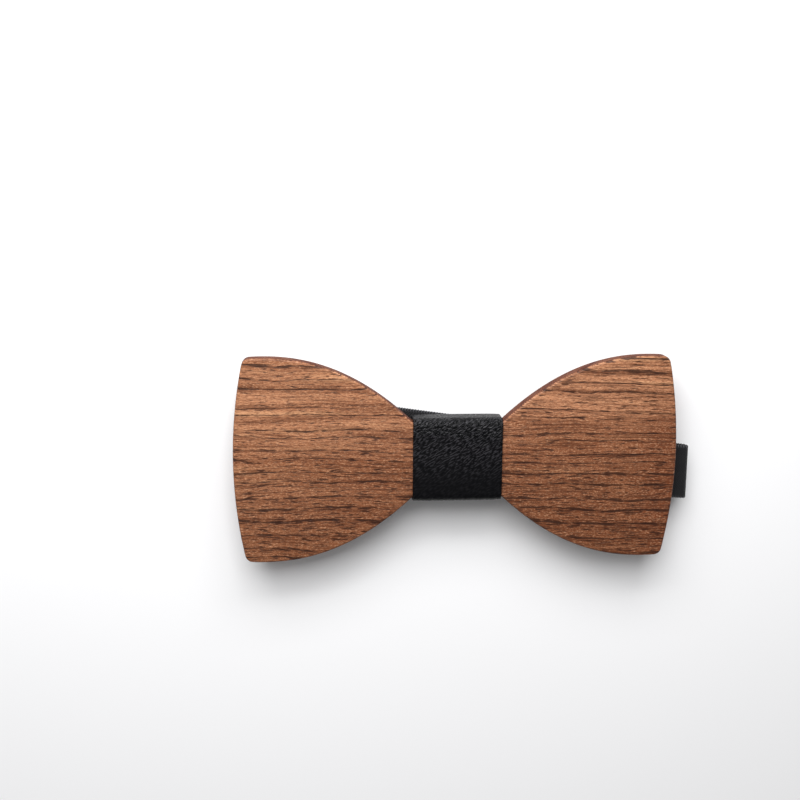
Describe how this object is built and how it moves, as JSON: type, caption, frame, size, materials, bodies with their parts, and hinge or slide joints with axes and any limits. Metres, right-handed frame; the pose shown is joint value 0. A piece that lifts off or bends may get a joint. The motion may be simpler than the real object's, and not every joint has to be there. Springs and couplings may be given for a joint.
{
  "type": "wooden bow tie",
  "caption": "Flat bow-shaped wooden board with a leather wrap round its waist, on an adjustable woven neck strap folded flat behind it.",
  "frame": {"origin": "on the resting surface, directly below the middle of the bow, on the flat underside of the lowest strap run", "axes": "+X along the bow, +Y towards its top edge, +Z out of its face"},
  "size_m": [0.1252, 0.056, 0.0147],
  "materials": {
    "walnut": "oiled satin",
    "black_leather": "fine grain, satin",
    "black_webbing": "woven, matt",
    "nickel": "polished nickel plate",
    "black_thread": "twisted thread"
  },
  "bodies": {
    "bow": {"bow_board": "walnut", "leather_wrap": "black_leather"},
    "strap": {"neck_strap": "black_webbing", "adjuster_strap": "black_webbing", "hook_stitch": "black_thread"},
    "slider": {"slider": "nickel", "slider_stitch": "black_thread"},
    "ring": {"ring": "nickel"},
    "hook": {"hook": "nickel"}
  },
  "joints": [
    {"name": "strap_slide", "type": "slide", "parent": "bow", "child": "strap", "axis": [1, 0, 0], "range_m": [-0.008, 0.008]},
    {"name": "slider_slide", "type": "slide", "parent": "strap", "child": "slider", "axis": [1, 0, 0], "range_m": [-0.016, 0.006], "deforming": ["adjuster_strap"]},
    {"name": "ring_swing", "type": "hinge", "parent": "strap", "child": "ring", "pos_m": [-0.018, -0.005, 0.0017], "axis": [0, 1, 0], "range_deg": [-8, 20]},
    {"name": "hook_swing", "type": "hinge", "parent": "strap", "child": "hook", "pos_m": [-0.042, 0.005, 0.00145], "axis": [0, -1, 0], "range_deg": [-3, 12]}
  ]
}
